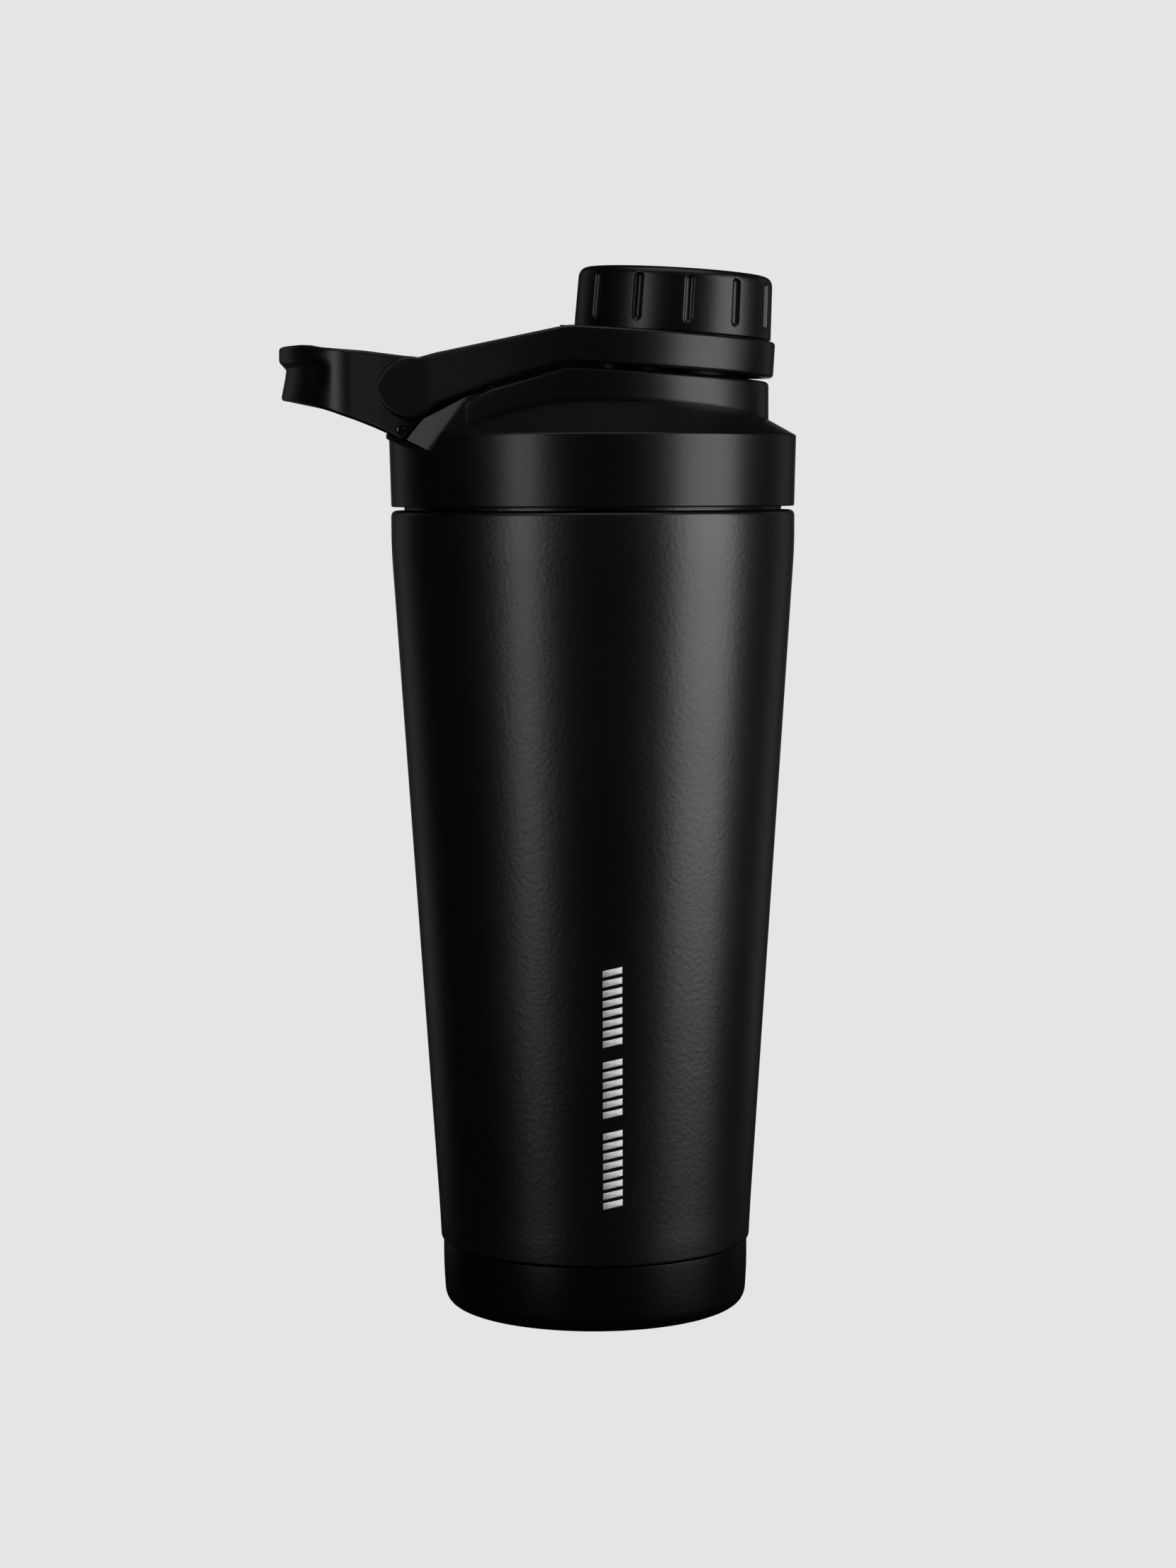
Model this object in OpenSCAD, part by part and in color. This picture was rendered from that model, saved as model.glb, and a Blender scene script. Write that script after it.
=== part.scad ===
// Double-wall steel shaker bottle with a screw lid, a tethered spout cap and a carry loop.
// The base rests on z = 0, Z runs up the bottle's axis, and X points to the spout.
// Front is the -Y side. Millimetres.

/* [Bottle] */
// Largest diameter of the body, under its shoulder
body_d = 91.8; // [90:0.2:93]
// Diameter of the foot band, which drops into a cup holder
foot_d = 70.2; // [69:0.2:71]
// Height of the shoulder above the base
body_h = 182.8; // [176:0.2:190]
// Height of the foot band
foot_h = 15.2; // [14:0.2:17]
// Straight stretch between the shoulder and the taper
straight_h = 8.3; // [6:0.1:12]
// Wall of the outer shell
shell_wall = 0.8; // [0.7:0.1:0.9]
// Wall of the inner vessel
vessel_wall = 0.6; // [0.5:0.1:0.7]
// Vacuum gap between the two walls
vacuum_gap = 2.6; // [2.4:0.1:2.8]

/* [Neck and threads] */
// Diameter at the root of the neck's thread
neck_d = 84.6; // [84.2:0.1:84.8]
// Height of the neck above the shoulder
neck_h = 12.4; // [12:0.1:12.8]
// Rise of every thread in one turn
pitch = 4; // [3.5:0.1:4.2]
// Height of a thread's crest above its root
crest = 0.9; // [0.7:0.1:0.9]

/* [Lid] */
// Diameter of the collar at its top edge
collar_d = 92.5; // [92:0.1:93.5]
// Height of the collar
collar_h = 15.9; // [15.5:0.1:16.5]
// Shadow gap between the shoulder and the collar
lid_gap = 0.8; // [0.6:0.1:1.2]
// Rise of the shoulder cone per millimetre of radius
cone_rise = 0.56; // [0.54:0.01:0.6]
// Distance from the axis to the deck's nose
deck_nose = 40; // [39.6:0.1:40.4]
// Half width of the deck at the axis
deck_half = 33; // [32.6:0.1:33.2]
// Height of the deck's nose above the collar's top edge
deck_h = 12; // [11.6:0.1:12.2]
// Wall of the lid moulding
lid_wall = 2.2; // [2:0.1:2.5]

/* [Spout and cap] */
// Distance from the bottle's axis to the cap's axis
cap_x = 17.6; // [17.4:0.1:18]
// Lean of the cap, the deck and the yoke towards the nose, in degrees
tilt = 3.5; // [3.2:0.1:3.8]
// Diameter of the cap at its open end
cap_d = 44.7; // [44:0.1:45]
// Height of the cap
cap_h = 14.2; // [13.8:0.1:14.6]
// Grip flutes round the cap
flute_count = 12; // [6:1:18]
// Radius of the drinking opening
spout_r = 13.4; // [12.5:0.1:13.6]

/* [Yoke and hinge] */
// Distance from the axis to the yoke's nose
yoke_nose = 41.5; // [41.2:0.1:41.8]
// Half width of the yoke at the axis
yoke_half = 33.8; // [33.6:0.1:34.2]
// Depth of the yoke's band
yoke_h = 8; // [7.8:0.1:8.4]
// Distance from the bottle's axis back to the hinge axis
hinge_back = 40; // [39.9:0.1:40.1]
// Height of the hinge axis above the collar's top edge
hinge_up = 10.2; // [10:0.1:10.4]
// Radius of the yoke's round ends
boss_r = 6.85; // [6.7:0.05:6.9]
// Radius of the steel hinge pins
pin_r = 2; // [1.8:0.1:2.2]

/* [Carry loop] */
// Distance from the bottle's axis to the loop's far end
loop_end = 71; // [70:0.1:71.5]
// Thickness of the loop's bar
loop_bar = 3.8; // [3.4:0.1:4.2]
// How far the loop swings up, in degrees
loop_swing = 110; // [90:1:115]

/* [Hidden] */
$fn = 96;
fit = 0.3;                       // gap between pieces that move past each other
run = 0.05;                      // running clearance of a pin in its hole
body_r = body_d / 2;
foot_r = foot_d / 2;
neck_r = neck_d / 2;
seam = 0.25;                     // groove between the shell and the foot cup
shell_foot_r = foot_r + 0.55;    // shell's radius where it meets the foot cup
shoulder_r = 1.8;                // rounding of the shoulder
taper_top = body_h - shoulder_r - straight_h + 1.8;
taper_low = foot_h + 0.8;
rim_z = body_h + neck_h;         // top of the drinking rim under the lid
collar_low = body_h + lid_gap;
top = collar_low + collar_h;     // the collar's top edge, which the lid is set out from
collar_r = collar_d / 2;
bore_r = neck_r + crest + fit + 0.7;   // root of the thread in the lid's ring
ring_r = bore_r + 0.8;           // outside of the threaded ring, inside of the collar
open_r = 38.5;                   // opening through the lid's ring
seat_z = rim_z + 2.05;           // underside of the ring over the gasket
roof = seat_z + 1.1;             // top of the ring, underside of the lid's cone
pivot = [-hinge_back, 0, top + hinge_up];
lug_in = 20.4;                   // inner face of a hinge lug, from the middle
lug_out = 23.6;                  // outer face of a hinge lug
plate_in = 23.9;                  // inner face of the loop's side plate
arm_in = 28.3;                   // inner face of the yoke's arm at the hinge
deck_slope = tan(tilt);
yoke_gap = 1;                    // gap between the deck and the yoke
plate_h = 2.5;                   // thickness of the yoke's top plate
liner_r = 19.6;                   // outside of the cap's liner
liner_in = 18.6;                 // root of the thread inside the liner
stop_r = 9.3;                    // radius at which the stop pin travels
stop_angle = -103.7;             // where the stop pin sits when the loop is down
stop_pin_r = 1;
cap_low = yoke_gap + yoke_h + fit;     // the cap's open end above the deck
plate_low = yoke_gap + yoke_h - plate_h;
gasket_low = cap_low + 5.1;      // underside of the cap's gasket
spout_h = gasket_low - 0.2;      // height of the drinking lip above the deck

// Points along an arc in the plane of a profile
function arc(c, r, a0, a1, n = 8) =
    [for (i = [0:n]) c + r * [cos(a0 + (a1 - a0) * i / n), sin(a0 + (a1 - a0) * i / n)]];

// Outer radius of the body's tapered wall at height z
function body_radius(z) =
    z >= taper_top ? body_r
    : shell_foot_r + (body_r - shell_foot_r) * (z - taper_low) / (taper_top - taper_low);

// Height of the deck plane over the collar's top edge at x
function deck_z(x) = deck_h + (deck_nose - x) * deck_slope;

// Centre radii of an oval's side arcs, from its half length, half width and end radius
function side_r(a, b, r) = ((a - r) * (a - r) + b * b - r * r) / (2 * (b - r));

// Half outline of the oval nose, from the tip round to the widest point
function nose(a, b, r, n = 10) =
    let (s = side_r(a, b, r), turn = atan2(s - b, a - r))
    concat(arc([a - r, 0], r, 0, turn, n), [for (p = arc([0, b - s], s, turn, 90, n)) p]);

function flipped(points) = [for (i = [len(points) - 1:-1:0]) [points[i][0], -points[i][1]]];

// Plan outline of the deck: oval nose, then flanks that close in towards the hinge
function deck_plan(inset = 0) =
    let (half = concat(nose(deck_nose - inset, deck_half - inset, 27 - inset),
                       [[-10, deck_half - inset - 0.05], [-20, deck_half - inset - 0.2],
                        [-28 + 1.2 * inset, deck_half - inset - 0.5],
                        [-33 + 1.4 * inset, deck_half - inset - 2.4],
                        [-37 + 1.6 * inset, deck_half - inset - 4.9]]))
    concat(half, flipped(half));

// Bar of the thread's section swept along a helix; out is 1 on a shaft and -1 in a bore
module thread(r, height, turns, z, out = 1) {
    steps = ceil(turns * 48);
    function swell(i) = min(1, min(i, steps - i) / 6);
    ring = [for (i = [0:steps])
        let (a = 360 * turns * i / steps, h = 0.02 + height * swell(i), low = z + pitch * turns * i / steps)
        for (q = [[-0.15, -1.1], [h, -0.45], [h, 0.45], [-0.15, 1.1]])
            [(r + out * q[0]) * cos(a), (r + out * q[0]) * sin(a), low + q[1]]];
    sides = [for (i = [0:steps - 1], k = [0:3])
        let (a = 4 * i + k, b = 4 * i + (k + 1) % 4)
        out > 0 ? [a, b, b + 4, a + 4] : [a + 4, b + 4, b, a]];
    ends = [[3, 2, 1, 0], [for (k = [0:3]) 4 * steps + k]];
    turned = [[0, 1, 2, 3], [for (k = [3:-1:0]) 4 * steps + k]];
    polyhedron(ring, concat(sides, out > 0 ? ends : turned), convexity = 6);
}

// Puts a shape on both sides of the bottle's middle plane
module both_sides() {
    children();
    mirror([0, 1, 0]) children();
}

// Extrudes an outline drawn in X and Z along Y, from y0 to y1
module side_cut(y0, y1) {
    translate([0, y1, 0]) rotate([90, 0, 0]) linear_extrude(y1 - y0) children();
}

// The cap's frame: origin on the deck, Z along the leaning axis
module on_deck() {
    translate([cap_x, 0, top + deck_z(cap_x)]) rotate([0, tilt, 0]) children();
}

// Cylinder along Y through the hinge axis, from y0 to y1
module hinge_bar(r, y0, y1) {
    translate([pivot[0], y1, pivot[2]]) rotate([90, 0, 0]) cylinder(r = r, h = y1 - y0);
}

module outer_shell() {
    neck_in = neck_r - shell_wall;
    taper_in = shell_wall;
    outside = concat(
        [[foot_r - 0.4, foot_h + seam], [shell_foot_r - 0.5, foot_h + seam]],
        arc([shell_foot_r - 0.5, foot_h + seam + 0.5], 0.5, -90, 0, 4),
        [[body_radius(taper_low + 2), taper_low + 2], [body_radius(taper_top - 9), taper_top - 9],
         [body_r - 0.17, taper_top - 3.6], [body_r, taper_top + 1.8]],
        arc([body_r - shoulder_r, body_h - shoulder_r], shoulder_r, 0, 90, 6),
        [[neck_r + 0.6, body_h], [neck_r + 0.6, body_h + 1.4], [neck_r, body_h + 2],
         [neck_r, rim_z - 0.9]]);
    inside = [[neck_in, rim_z - 0.9], [neck_in, body_h - shell_wall],
              [body_r - taper_in - 1, body_h - shell_wall], [body_r - taper_in, body_h - 2.5],
              [body_r - taper_in, taper_top],
              [shell_foot_r - taper_in, taper_low], [foot_r - 0.4 - taper_in, foot_h + seam]];
    color([0.05, 0.05, 0.05]) union() {
        rotate_extrude() polygon(concat(outside, inside));
        thread(neck_r, crest, 1.4, body_h + 4.6);
    }
}

// Inner radius of the drinking vessel at height z
function vessel_radius(z) = body_radius(z) - shell_wall - vacuum_gap - vessel_wall;

module inner_vessel() {
    neck_out = neck_r - shell_wall - 0.05;
    neck_in = neck_out - vessel_wall;
    floor_z = 7.5;
    low_r = vessel_radius(taper_low);
    corner = 9;
    neck_low = body_h - 3;
    inside = concat(
        [[0, floor_z]],
        arc([low_r - corner, floor_z + corner], corner, -90, 0, 8),
        [[vessel_radius(neck_low - 6), neck_low - 6], [neck_in, neck_low],
         [neck_in, rim_z - 0.6]],
        arc([neck_in + 0.6, rim_z - 0.6], 0.6, 180, 90, 4),
        arc([neck_r - 0.4, rim_z - 0.4], 0.4, 90, 0, 4));
    outside = concat(
        [[neck_r, rim_z - 0.85], [neck_out, rim_z - 0.85], [neck_out, neck_low],
         [vessel_radius(neck_low - 6) + vessel_wall, neck_low - 6]],
        arc([low_r - corner, floor_z + corner], corner + vessel_wall, 0, -90, 8),
        [[0, floor_z - vessel_wall]]);
    color([0.72, 0.72, 0.73]) rotate_extrude() polygon(concat(inside, outside));
}

module foot_cup() {
    spigot = foot_r - 0.4 - shell_wall - 0.1;
    round_r = 4.6;
    outside = concat(
        [[0, 2.6], [21.4, 2.6], [21.4, 1.2], [27, 1.2]],
        arc([28.6, 1.2], 1.2, 180, 270, 4),
        arc([foot_r - round_r, round_r], round_r, -90, 0, 8),
        [[foot_r, foot_h - 0.3], [foot_r - 0.3, foot_h], [spigot, foot_h],
         [spigot, foot_h + 3.5]]);
    inside = concat(
        [[spigot - shell_wall, foot_h + 3.5], [spigot - shell_wall, foot_h - 1.5],
         [foot_r - 0.9, foot_h - 2.5]],
        arc([foot_r - round_r, round_r], round_r - 0.9, 0, -60, 6),
        [[26, 2.1], [22.3, 2.1], [22.3, 3.5], [0, 3.5]]);
    color([0.05, 0.05, 0.05]) difference() {
        rotate_extrude() polygon(concat(outside, inside));
        translate([0, 0, 2]) cylinder(r = 1.5, h = 3);
    }
}

// Soft ring let into the base, level with the foot
module foot_pad() {
    color([0.12, 0.12, 0.12]) rotate_extrude()
        polygon([[22.4, 0.4], [22.8, 0], [26.2, 0], [26.6, 0.4], [26.6, 1.2], [22.4, 1.2]]);
}

// Polished cover over the vacuum port, let into the base
module base_plate() {
    color([0.7, 0.7, 0.71]) rotate_extrude()
        polygon([[0, 1.6], [20.6, 1.6], [21.1, 2], [21.1, 2.6], [0, 2.6]]);
}

// Bead that seals the vacuum port
module vacuum_plug() {
    color([0.6, 0.6, 0.6]) translate([0, 0, 2.6]) {
        cylinder(r = 1.5, h = 0.9);
        translate([0, 0, 0.9]) cylinder(r1 = 2.4, r2 = 1.6, h = 0.5);
    }
}

// Gas-absorbing pellet in the vacuum space, held on the vessel's floor
module getter() {
    color([0.5, 0.5, 0.48]) translate([12, 0, 4.3]) cylinder(r = 4, h = 2.6);
}

// Side outline of the lid's top: the deck's plane, then the fall to the hinge
module lid_top_outline() {
    polygon([[-60, -20], [-60, -3.5], [-48, -0.9], [-36.4, 3.8], [-31.7, 5.7], [-27, 7.6],
             [-22.4, 9.9], [-13, 12.5], [-6.8, deck_z(-5.7) - 0.45], [-5.7, deck_z(-5.7) - 0.15],
             [-4.4, deck_z(-4.4)], [50, deck_z(50)], [50, -20]]);
}

// Outer skin of the lid under its top, without the hinge
module lid_block() {
    collar = concat(
        [[0, collar_low], [collar_r - 1.1, collar_low]],
        arc([collar_r - 1.1, collar_low + 0.8], 0.8, -90, 0, 4),
        [[collar_r, top - 0.4], [collar_r - 0.35, top]],
        [[30, top + cone_rise * (collar_r - 0.35 - 30)], [0, top + 9.2]]);
    intersection() {
        union() {
            rotate_extrude() polygon(collar);
            translate([0, 0, top - 3]) linear_extrude(22) polygon(deck_plan());
        }
        translate([0, 0, top]) side_cut(-60, 60) lid_top_outline();
    }
}

// Cuts off what stands outside a plane through the point [x, y, z], turned and leaned
module shave(x, y, z, turn, leaning = 0) {
    difference() {
        children();
        translate([x, y, top + z]) rotate([0, 0, turn]) rotate([leaning, 0, 0])
            translate([-40, 0, -40]) cube([80, 20, 80]);
    }
}

// Hinge bracket on one side: a facet turned to the hinge
// with the flank beside it, a gusset back to the collar and a strip
module bracket() {
    shave(-33.2, 32.3, 0.3, 15.1, 9.9)
        shave(-33.2, 32.3, 0.3, 1.7)
            translate([0, 0, top]) side_cut(lug_out, 34)
                polygon([[-25, 8.5], [-27.9, 8], [-37.1, 3.5], [-38.9, 1.4], [-40.8, -1.1],
                         [-35.5, -3.7], [-33.2, 0.3], [-28.5, 1.2], [-25, 3.5]]);
    shave(-33.2, 32.3, 0.3, -3.3, -0.5)
        translate([0, 0, top]) side_cut(lug_out, 34)
            polygon([[-35.5, -3.7], [-33.2, 0.3], [-32.8, 0.2], [-32.8, -5.5]]);
    difference() {
        translate([0, 0, top]) side_cut(lug_out, 27)
            polygon([[-45.4, 0.4], [-41, -1.4], [-35.3, -3.7], [-31, -5.6], [-31, -7], [-35.5, -5.2],
                     [-41.2, -2.7], [-45.4, -0.8]]);
        hinge_bar(12.1, lug_out - 1, 30);
    }
}

// Hinge lug on one side, with the arc groove that the loop's stop pin runs in
module lug() {
    difference() {
        intersection() {
            union() {
                hinge_bar(11.2, lug_in, lug_out);
                translate([0, 0, top]) side_cut(lug_in, lug_out)
                    polygon([[-43, -0.7], [-36, -3.8], [-28, -3.8], [-20, 10.2], [-30, 14],
                             [-36, 16], [-40, 16]]);
            }
            translate([0, 0, top]) side_cut(0, 40)
                polygon([[-55, -6], [-55, 16.2], [-38, 16.2], [-26, 11.6], [-10, 10], [-10, -6]]);
        }
        hinge_bar(pin_r + run, lug_in - 1, lug_out + 1);
        translate([pivot[0], lug_out + 0.01, pivot[2]]) rotate([90, 0, 0])
            rotate([0, 0, stop_angle - loop_swing - 8])
                rotate_extrude(angle = loop_swing + 16)
                    translate([stop_r - stop_pin_r - fit, 0])
                        square([2 * (stop_pin_r + fit), 1.5]);
    }
}

module lid_shell() {
    color([0.06, 0.06, 0.06]) {
        difference() {
            union() {
                lid_block();
                both_sides() { bracket(); lug(); }
                on_deck() translate([0, 0, -3]) cylinder(r = 15.2, h = spout_h + 2.1);
            }
            // seat for the threaded ring
            translate([0, 0, collar_low - 8]) cylinder(r = ring_r, h = roof - collar_low + 8);
            // room under the deck and the cone
            intersection() {
                rotate_extrude() polygon([[0, roof - 1], [open_r, roof - 1], [open_r, top + 1.9],
                                          [31, top + 6.1], [0, top + 6.1]]);
                translate([0, 0, top - lid_wall - 0.1]) side_cut(-60, 60) lid_top_outline();
            }
            intersection() {
                translate([0, 0, top - 2]) linear_extrude(20) polygon(deck_plan(lid_wall));
                translate([0, 0, top - lid_wall - 0.1]) side_cut(-60, 60) lid_top_outline();
                cylinder(r = open_r, h = 400);
            }
            on_deck() translate([0, 0, -12]) cylinder(r = spout_r, h = 40);
        }
        on_deck() rotate_extrude() polygon(concat(
            [[spout_r, spout_h - 1.5]], arc([spout_r + 0.9, spout_h - 0.9], 0.9, 180, 0, 8),
            [[15.2, spout_h - 1.5]]));
        on_deck() thread(15.2, 1, 1.3, 4.8);
    }
}

// Ring moulded into the collar, with the thread and the gasket's seat
module lid_ring() {
    color([0.1, 0.1, 0.1]) {
        rotate_extrude() polygon([
            [bore_r, collar_low + 0.5], [ring_r - 0.4, collar_low + 0.5], [ring_r, collar_low + 0.9],
            [ring_r, roof], [open_r, roof], [open_r, seat_z], [bore_r, seat_z]]);
        thread(bore_r, crest - 0.2, 1.4, body_h + 5.6, -1);
    }
}

// Soft ring that seals the lid on the rim
module lid_gasket() {
    color([0.12, 0.12, 0.12]) rotate_extrude() polygon(concat(
        [[39.6, rim_z + 0.8], [42.9, rim_z + 0.8]],
        arc([42.7, rim_z + 1.4], 0.6, -60, 60, 5),
        [[42.9, seat_z - 0.05], [39.6, seat_z - 0.05]]));
}

// Slotted basket that breaks up powder; its flange rests on the rim under the lid
module mixing_grid() {
    wall_r = neck_r - shell_wall - vessel_wall - 0.4;
    low = rim_z - 9.2;
    color([0.08, 0.08, 0.08]) {
        rotate_extrude() polygon([
            [wall_r - 1.2, low], [wall_r - 0.5, low], [wall_r, low + 0.5], [wall_r, rim_z + 0.05],
            [41.9, rim_z + 0.05], [41.9, rim_z + 0.75], [wall_r - 1.2, rim_z + 0.75]]);
        intersection() {
            translate([0, 0, low]) cylinder(r = wall_r - 0.7, h = 2);
            union() {
                for (x = [-35:7:35])
                    translate([x - 0.9, -40, low]) cube([1.8, 80, 2]);
                for (y = [-28:14:28])
                    translate([-40, y - 0.9, low]) cube([80, 1.8, 2]);
            }
        }
    }
}

// Side outline of the carry loop, from the hinge disc to the far end
module loop_side() {
    polygon([[-40.2, 17.18], [-50, 18.5], [-62, 19.5], [-65, 20.1], [-loop_end - 1, 20.1],
             [-loop_end - 1, 8.3], [-70.6, 8.1], [-62.3, 6.5], [-57.5, 5.1], [-52.8, 3.5],
             [-48.1, 1.7], [-45, 0.3], [-41.8, -1.5],
             [-40.95, -1.1], [-38.9, 1.5], [-37.3, 3.5], [-36.5, 6], [-36, 10]]);
    translate([pivot[0], hinge_up]) circle(r = 7);
}

// Half plan of the loop; in is the inset from its outside
function loop_half(in, side) =
    concat([[-30, side], [-42, side], [-53, 26.4 - in]],
           arc([-53, 13.4], 13 - in, 93, 139.2, 8),
           arc([33.5 - loop_end, 0], 33.5 - in, 145, 180, 6));

// Half plan of the finger gap, which clears the lugs and then closes in
finger_half = concat([[-30, plate_in], [-51.9, plate_in], [-54.2, 22.5]],
                     arc([-53, 13.4], 13 - loop_bar, 104, 139.2, 8),
                     arc([33.5 - loop_end, 0], 33.5 - loop_bar, 145, 180, 6));

module loop_plan(lip) {
    difference() {
        polygon(concat(loop_half(lip, arm_in - fit), flipped(loop_half(lip, arm_in - fit))));
        polygon(concat(finger_half, flipped(finger_half)));
    }
}

module carry_loop() {
    color([0.06, 0.06, 0.06]) difference() {
        union() {
            intersection() {
                translate([0, 0, top - 5]) linear_extrude(30) loop_plan(1);
                translate([0, 0, top]) side_cut(-40, 40) loop_side();
            }
            intersection() {
                translate([0, 0, top + 15.6]) linear_extrude(10) loop_plan(0);
                translate([0, 0, top]) side_cut(-40, 40) loop_side();
            }
        }
        hinge_bar(pin_r + run, -40, 40);
        both_sides() stop_bar(20, 40);
    }
}

// Cylinder along Y at the stop pin's place, from y0 to y1
module stop_bar(y0, y1) {
    translate([pivot[0] + stop_r * cos(stop_angle), y1, pivot[2] + stop_r * sin(stop_angle)])
        rotate([90, 0, 0]) cylinder(r = stop_pin_r, h = y1 - y0, $fn = 48);
}

module stop_pin_front() {
    color([0.3, 0.3, 0.3]) mirror([0, 1, 0]) stop_bar(lug_out - 1.1, arm_in - fit);
}

module stop_pin_back() {
    color([0.3, 0.3, 0.3]) stop_bar(lug_out - 1.1, arm_in - fit);
}

// Side outline of the yoke: level band round the cap, then arms down to the bosses
module yoke_side() {
    low = yoke_gap / cos(tilt);
    high = low + yoke_h / cos(tilt);
    polygon([[50, deck_z(50) + low], [-4.4, deck_z(-4.4) + low],
             [-6.4, deck_z(-6.4) + low - 0.3], [-20.8, 11.3], [-37.2, 5.4],
             [-38, 16.9], [-34, 17.95], [-7.6, deck_z(-5.2) + high - 0.5],
             [-5.2, deck_z(-5.2) + high - 0.1], [-3, deck_z(-3) + high], [50, deck_z(50) + high]]);
}

// Half plan of the yoke's outside
yoke_plan = concat(nose(yoke_nose, yoke_half, 28),
                   [[-8, yoke_half - 0.1], [-16, yoke_half - 0.7], [-26, yoke_half - 1.7],
                    [-36, yoke_half - 2.8], [-48, yoke_half - 3.6]]);

module yoke() {
    wall = 2.6;
    // window between the arms, which the raised carry loop stands in
    window = [[-50, arm_in], [-33, arm_in], [-16, yoke_half - wall - 0.7], [-8, yoke_half - wall - 0.1],
              [-8, 12], [-6.9, 0]];
    color([0.06, 0.06, 0.06]) difference() {
        intersection() {
            translate([0, 0, top - 10]) linear_extrude(50)
                polygon(concat(yoke_plan, flipped(yoke_plan)));
            union() {
                translate([0, 0, top]) side_cut(-60, 60) yoke_side();
                hinge_bar(boss_r, -60, 60);
            }
        }
        translate([0, 0, top - 10]) linear_extrude(50) polygon(concat(window, flipped(window)));
        // hollow under the top plate
        on_deck() translate([-cap_x, 0, -4]) linear_extrude(plate_low + 4)
            polygon(concat(nose(yoke_nose - wall, yoke_half - wall, 28 - wall),
                           [[-4, yoke_half - wall]], [[-4, -yoke_half + wall]],
                           flipped(nose(yoke_nose - wall, yoke_half - wall, 28 - wall))));
        on_deck() cylinder(r = liner_r + 0.4, h = 30);
        both_sides() hinge_bar(pin_r, 20, 30);
    }
}

module hinge_pin_front() {
    color([0.7, 0.7, 0.72]) mirror([0, 1, 0]) hinge_bar(pin_r, lug_in + 0.2, 30);
}

module hinge_pin_back() {
    color([0.7, 0.7, 0.72]) hinge_bar(pin_r, lug_in + 0.2, 30);
}

module cap_shell() {
    r = cap_d / 2;
    side_top = r - 0.45;
    round_r = 2.4;
    wall = 1.9;
    high = cap_low + cap_h;
    flute_r = 1.15;
    outside = concat([[r - 0.4, cap_low], [r, cap_low + 0.4], [side_top, high - round_r]],
                     arc([side_top - round_r, high - round_r], round_r, 0, 90, 6), [[0, high + 0.25]]);
    inside = [[0, high - wall], [liner_r + 0.05, high - wall], [liner_r + 0.05, cap_low]];
    color([0.06, 0.06, 0.06]) on_deck() difference() {
        rotate_extrude() polygon(concat(outside, inside));
        // grip flutes with round ends, along the cap's side
        for (i = [0:flute_count - 1])
            rotate([0, 0, -82.8 + i * 360 / flute_count])
                translate([r + 0.3, 0, cap_low + 2 + flute_r]) rotate([0, -2, 0]) {
                    cylinder(r = flute_r, h = 8.4, $fn = 32);
                    sphere(r = flute_r, $fn = 32);
                    translate([0, 0, 8.4]) sphere(r = flute_r, $fn = 32);
                }
    }
}

// Threaded inner cup, which passes down through the yoke's plate
module cap_liner() {
    color([0.08, 0.08, 0.08]) on_deck() union() {
        rotate_extrude() polygon([
            [liner_in, plate_low - 2], [liner_r, plate_low - 2], [liner_r, cap_low + 8.5],
            [0, cap_low + 8.5], [0, cap_low + 6.9], [liner_in, cap_low + 6.9]]);
        thread(liner_in, 0.8, 1.2, plate_low + 0.6, -1);
    }
}

// Soft disc that closes the drinking opening
module cap_gasket() {
    color([0.12, 0.12, 0.12]) on_deck() translate([0, 0, gasket_low]) difference() {
        cylinder(r = 17.6, h = cap_low + 6.9 - gasket_low);
        translate([0, 0, -1]) cylinder(r = 11, h = 1.9);
    }
}

// Ring snapped on the liner under the yoke's plate, which keeps the cap on the yoke
module cap_retainer() {
    color([0.08, 0.08, 0.08]) on_deck() rotate_extrude() polygon([
        [liner_r, plate_low - 2], [liner_r + 1, plate_low - 2], [liner_r + 1.2, plate_low - 1.8],
        [liner_r + 1.2, plate_low - fit], [liner_r, plate_low - fit]]);
}

outer_shell();
inner_vessel();
foot_cup();
foot_pad();
base_plate();
vacuum_plug();
getter();
lid_shell();
lid_ring();
lid_gasket();
mixing_grid();
carry_loop();
stop_pin_front();
stop_pin_back();
yoke();
hinge_pin_front();
hinge_pin_back();
cap_shell();
cap_liner();
cap_gasket();
cap_retainer();
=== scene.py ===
import bpy
import numpy as np
import math
from mathutils import Matrix, Vector


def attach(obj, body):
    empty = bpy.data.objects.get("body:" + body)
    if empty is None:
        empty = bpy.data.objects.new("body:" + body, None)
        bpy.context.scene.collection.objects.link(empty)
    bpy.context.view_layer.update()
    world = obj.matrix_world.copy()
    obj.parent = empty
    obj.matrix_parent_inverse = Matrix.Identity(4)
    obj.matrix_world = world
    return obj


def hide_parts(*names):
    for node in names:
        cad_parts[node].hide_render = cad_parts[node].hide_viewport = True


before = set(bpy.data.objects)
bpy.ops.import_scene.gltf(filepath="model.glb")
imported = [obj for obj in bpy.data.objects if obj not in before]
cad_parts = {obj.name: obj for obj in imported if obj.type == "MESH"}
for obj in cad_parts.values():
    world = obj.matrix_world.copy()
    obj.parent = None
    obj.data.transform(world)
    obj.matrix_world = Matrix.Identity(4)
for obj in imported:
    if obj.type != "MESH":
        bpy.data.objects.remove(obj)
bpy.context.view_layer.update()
mm = 0.001
tau = 2 * math.pi
collarTop = 199.5                      # height that the lid's shapes are set out from
lean = math.radians(3.5)               # lean of the deck, the yoke and the cap
spoutX = 17.6                          # where the cap's axis meets the deck
hingeX, hingeUp = -40.0, 10.2           # hinge axis: x, and height over the collar's top
wallLid = 2.2                          # wall of the lid


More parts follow.
